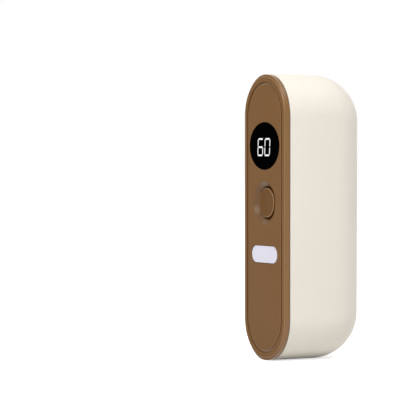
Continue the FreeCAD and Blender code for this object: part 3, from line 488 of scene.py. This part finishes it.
# Light module: the white reflector block behind the lens, which sends its light to the bars.
# It is one plastic moulding, soldered to the board.
white_moulding = moulded("white_moulding", (0.70, 0.70, 0.69), (0.78, 0.78, 0.77), roughness=0.45, ior=1.45)
finish_nodes(white_moulding, "display_module")

# Button: the round cap at the bottom of the dimple, a little hollow for the fingertip.
# It is moulded with its flange and nub in one piece, and slides in the panel.
CAP_RADIUS = 0.0052
CAP_SINK = 0.00075
CAP_ROUND = 0.0003
HOLLOW_RADIUS = 0.0029
HOLLOW_FLOOR = 0.0025
HOLLOW_DEPTH = 0.0001
FLANGE_THICK = 0.0008
NUB_RADIUS = 0.0015
NUB_LENGTH = 0.0006
CAP_STEPS = 96
button_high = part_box("power_button")[1]
flange_back = button_high.y - NUB_LENGTH
flange_front = flange_back - FLANGE_THICK
flange_radius = button_high.x
cap_front = PANEL_FACE + CAP_SINK
section = [(0, cap_front + HOLLOW_DEPTH), (HOLLOW_FLOOR, cap_front + HOLLOW_DEPTH),
           (HOLLOW_RADIUS, cap_front)]
section += [(CAP_RADIUS - CAP_ROUND * inset, cap_front + CAP_ROUND * back) for inset, back in ROUND_SHARES]
section += [(CAP_RADIUS, flange_front), (flange_radius, flange_front), (flange_radius, flange_back),
            (NUB_RADIUS, flange_back), (NUB_RADIUS, button_high.y), (0, button_high.y)]
# The half section is spun round the button's axis
cap = bmesh.new()
profile = [cap.verts.new((radius, y, button_z)) for radius, y in section]
line = [cap.edges.new(pair) for pair in zip(profile, profile[1:])]
bmesh.ops.spin(cap, geom=profile + line, cent=(0, 0, button_z), axis=(0, 1, 0), angle=2 * math.pi,
               steps=CAP_STEPS, use_merge=True)
bmesh.ops.remove_doubles(cap, verts=cap.verts, dist=WELD_REACH)
bmesh.ops.recalc_face_normals(cap, faces=cap.faces)
brown_cap = moulded("brown_cap", (0.137, 0.0625, 0.0172), (0.151, 0.071, 0.0213), roughness=0.4, ior=1.12)
# The cap's rounded edge is painted paler as a highlight
for face in cap.faces:
    place = face.calc_center_median()
    outer = math.hypot(place.x, place.z - button_z) > CAP_RADIUS - CAP_ROUND
    face.material_index = int(outer and place.y < cap_front + CAP_ROUND)
even_piece(cap, "button_cap", (brown_cap, painted_edge_highlight), "power_button", "button")

# Switch: the tactile switch under the button, a case and a plunger moulded in black plastic.
# A pressed steel cover closes the case, which is soldered to the board.
bare_steel = rolled_metal("bare_steel", (0.62, 0.62, 0.60), roughness=0.3)
finish_nodes(black_moulding, "switch_base", "switch_plunger")
finish_nodes(bare_steel, "switch_cover")

# Label: the plain white plate in the pocket below the button, stuck over the charging port.
# It is a bare plastic film on a foam backing, cut to a pill.
LABEL_WIDTH = 0.0173
LABEL_HEIGHT = 0.0059
LABEL_SETBACK = 0.00005
LABEL_ROUND = 0.00006
white_film = moulded("white_film", (0.695, 0.685, 0.775), (0.735, 0.725, 0.815),
                     roughness=0.5, ior=1.25, grain=1800, relief=0.1)
plate = bmesh.new()
plate_rings = [lying_ring(plate, LABEL_WIDTH - 2 * inset, LABEL_HEIGHT - 2 * inset, y, port_z)
               for inset, y in ((LABEL_ROUND, PANEL_FACE + LABEL_SETBACK),
                                (0, PANEL_FACE + LABEL_SETBACK + LABEL_ROUND), (0, POCKET_FLOOR))]
join_rings(plate, plate_rings)
for ring in (plate_rings[0], plate_rings[-1]):
    bmesh.ops.contextual_create(plate, geom=ring)
bmesh.ops.recalc_face_normals(plate, faces=plate.faces)
even_piece(plate, "port_film", (white_film,), "port_label", "pod")

# Charging socket: a shell of drawn steel round a tongue moulded in black plastic.
# It is soldered to the board and lies behind the label.
finish_nodes(bare_steel, "usb_shell")
finish_nodes(black_moulding, "usb_tongue")

# Board: glass epoxy under a green mask, with copper tracks showing through it.
# Four screws hold it between the carrier and the bezel.
green_mask = moulded("green_mask", (0.022, 0.18, 0.07), (0.032, 0.24, 0.10),
                     roughness=0.35, ior=1.45, grain=1200, relief=0.1)
lay_tracks(green_mask, (0.07, 0.34, 0.13), direction="X", closeness=160, edges=(0.72, 0.76), distortion=6)
finish_nodes(green_mask, "main_board")

# Parts on the board: the charge controller in black epoxy, the ferrite coil and the ceramic capacitors.
# They are soldered to the back of the board.
dark_ferrite = moulded("dark_ferrite", (0.075, 0.075, 0.085), (0.12, 0.12, 0.13),
                       roughness=0.65, ior=1.5, grain=1500, relief=0.5)
tan_ceramic = moulded("tan_ceramic", (0.40, 0.29, 0.19), (0.48, 0.36, 0.25),
                      roughness=0.5, ior=1.5, grain=1500, relief=0.2)
finish_nodes(black_moulding, "charge_controller")
finish_nodes(dark_ferrite, "power_inductor")
finish_nodes(tan_ceramic, "board_capacitors")

# Cell: one round lithium cell in a shrunk blue sleeve, with a paper ring on its top.
# Nickel tabs are spot-welded to its ends.
blue_sleeve = moulded("blue_sleeve", (0.022, 0.08, 0.30), (0.035, 0.12, 0.40),
                      roughness=0.3, ior=1.45, grain=400, relief=0.4)
nickel = rolled_metal("nickel", (0.66, 0.63, 0.58), roughness=0.28, along=(30, 900, 900))
finish_nodes(blue_sleeve, "battery_cell")
finish_nodes(white_moulding, "cell_insulator")
finish_nodes(nickel, "positive_tab", "negative_tab")

# Carrier: the grey moulded cradle that holds the cell behind the board, with its four screws
# and the foam strip that keeps the cell from rattling.
grey_moulding = moulded("grey_moulding", (0.36, 0.36, 0.36), (0.44, 0.44, 0.44), roughness=0.5, ior=1.45)
grey_foam = moulded("grey_foam", (0.14, 0.14, 0.14), (0.25, 0.25, 0.25),
                    roughness=0.9, ior=1.3, grain=1400, relief=1.0)
finish_nodes(grey_moulding, "cell_carrier")
finish_nodes(bare_steel, "frame_screws")
finish_nodes(grey_foam, "cell_pad")

# Leads: soft wires in silicone, red and black from the cell and white pairs to the heater films.
# Each bends once and is soldered to the board.
red_silicone = moulded("red_silicone", (0.48, 0.02, 0.02), (0.58, 0.04, 0.03), roughness=0.5, ior=1.4)
black_silicone = moulded("black_silicone", (0.018, 0.018, 0.018), (0.028, 0.028, 0.028),
                         roughness=0.5, ior=1.4)
finish_nodes(red_silicone, "battery_lead_positive")
finish_nodes(black_silicone, "battery_lead_negative")
finish_nodes(white_moulding, "heater_leads_left", "heater_leads_right")

# Floor: a wide white sheet under the object. What the camera and reflections see of it is lifted
# to white, and the object's own shadow stays on it.
FLOOR_REACH = 6
FLOOR_LIFT = 0.64


def seen_share(nodes, links):
    """Socket that is 1 for what the camera sees, straight, in a gloss or through something clear."""
    path = nodes.new("ShaderNodeLightPath")
    seen = path.outputs["Is Camera Ray"]
    for ray in ("Is Glossy Ray", "Is Transmission Ray"):
        either = nodes.new("ShaderNodeMath")
        either.operation = "MAXIMUM"
        links.new(seen, either.inputs[0])
        links.new(path.outputs[ray], either.inputs[1])
        seen = either.outputs["Value"]
    return seen


white_sheet = moulded("white_sheet", (0.77, 0.77, 0.77), (0.79, 0.79, 0.79),
                      roughness=0.9, ior=1.05, grain=300, relief=0)
nodes, links = white_sheet.node_tree.nodes, white_sheet.node_tree.links
lift = nodes.new("ShaderNodeMath")
lift.operation = "MULTIPLY"
lift.inputs[1].default_value = FLOOR_LIFT
links.new(seen_share(nodes, links), lift.inputs[0])
nodes["Principled BSDF"].inputs["Emission Color"].default_value = WHITE
links.new(lift.outputs["Value"], nodes["Principled BSDF"].inputs["Emission Strength"])
sheet = bmesh.new()
bmesh.ops.create_grid(sheet, x_segments=1, y_segments=1, size=FLOOR_REACH)
piece_of(sheet, "floor", white_sheet)

# Surroundings: a studio that is white to the camera and in reflections.
# On the object it gives a softer fill.
FILL_STRENGTH = 0.5
world = bpy.data.worlds.new("white_studio")
world.use_nodes = True
scene.world = world
nodes, links = world.node_tree.nodes, world.node_tree.links
fill = nodes["Background"]
fill.inputs["Color"].default_value = WHITE
fill.inputs["Strength"].default_value = FILL_STRENGTH
white = nodes.new("ShaderNodeBackground")
white.inputs["Color"].default_value = WHITE
choice = nodes.new("ShaderNodeMixShader")
links.new(seen_share(nodes, links), choice.inputs["Fac"])
links.new(fill.outputs["Background"], choice.inputs[1])
links.new(white.outputs["Background"], choice.inputs[2])
links.new(choice.outputs["Shader"], nodes["World Output"].inputs["Surface"])

# Lamps: three square softboxes, one high to the right of the front, a small one in front
# and one overhead. All of them point at the middle of the object.
def soft_light(name, place, size, power):
    """Square softbox turned to the middle of the object."""
    light = bpy.data.lights.new(name, "AREA")
    light.shape = "SQUARE"
    light.size = size
    light.energy = power
    lamp = bpy.data.objects.new(name, light)
    lamp.location = place
    lamp.rotation_euler = (Vector((0, 0, MIDDLE)) - Vector(place)).to_track_quat("-Z", "Y").to_euler()
    scene.collection.objects.link(lamp)


soft_light("key_light", place=(0.7, -0.75, 1.25), size=0.8, power=11.0)
soft_light("front_light", place=(0.3, -1.38, 0.65), size=0.55, power=4.4)
soft_light("top_light", place=(0.5, 0.4, 1.5), size=0.8, power=7.2)

# Camera: to the right of the front, a little above the middle, with a long lens.
# It looks past the middle of the object, which stands to the right in the frame.
AZIMUTH = math.radians(58.616)
ELEVATION = math.radians(1.611)
DISTANCE = 0.784
FOCAL_LENGTH = 191.63
DOWNWARD = math.radians(1.385)
ASIDE = math.radians(2.582)
camera = bpy.data.objects.new("camera", bpy.data.cameras.new("camera"))
camera.data.lens = FOCAL_LENGTH
camera.location = (DISTANCE * math.sin(AZIMUTH) * math.cos(ELEVATION),
                   -DISTANCE * math.cos(AZIMUTH) * math.cos(ELEVATION),
                   MIDDLE + DISTANCE * math.sin(ELEVATION))
camera.rotation_euler = (math.pi / 2 - DOWNWARD, 0, AZIMUTH + ASIDE)
scene.collection.objects.link(camera)
scene.camera = camera
scene.view_settings.view_transform = "Standard"
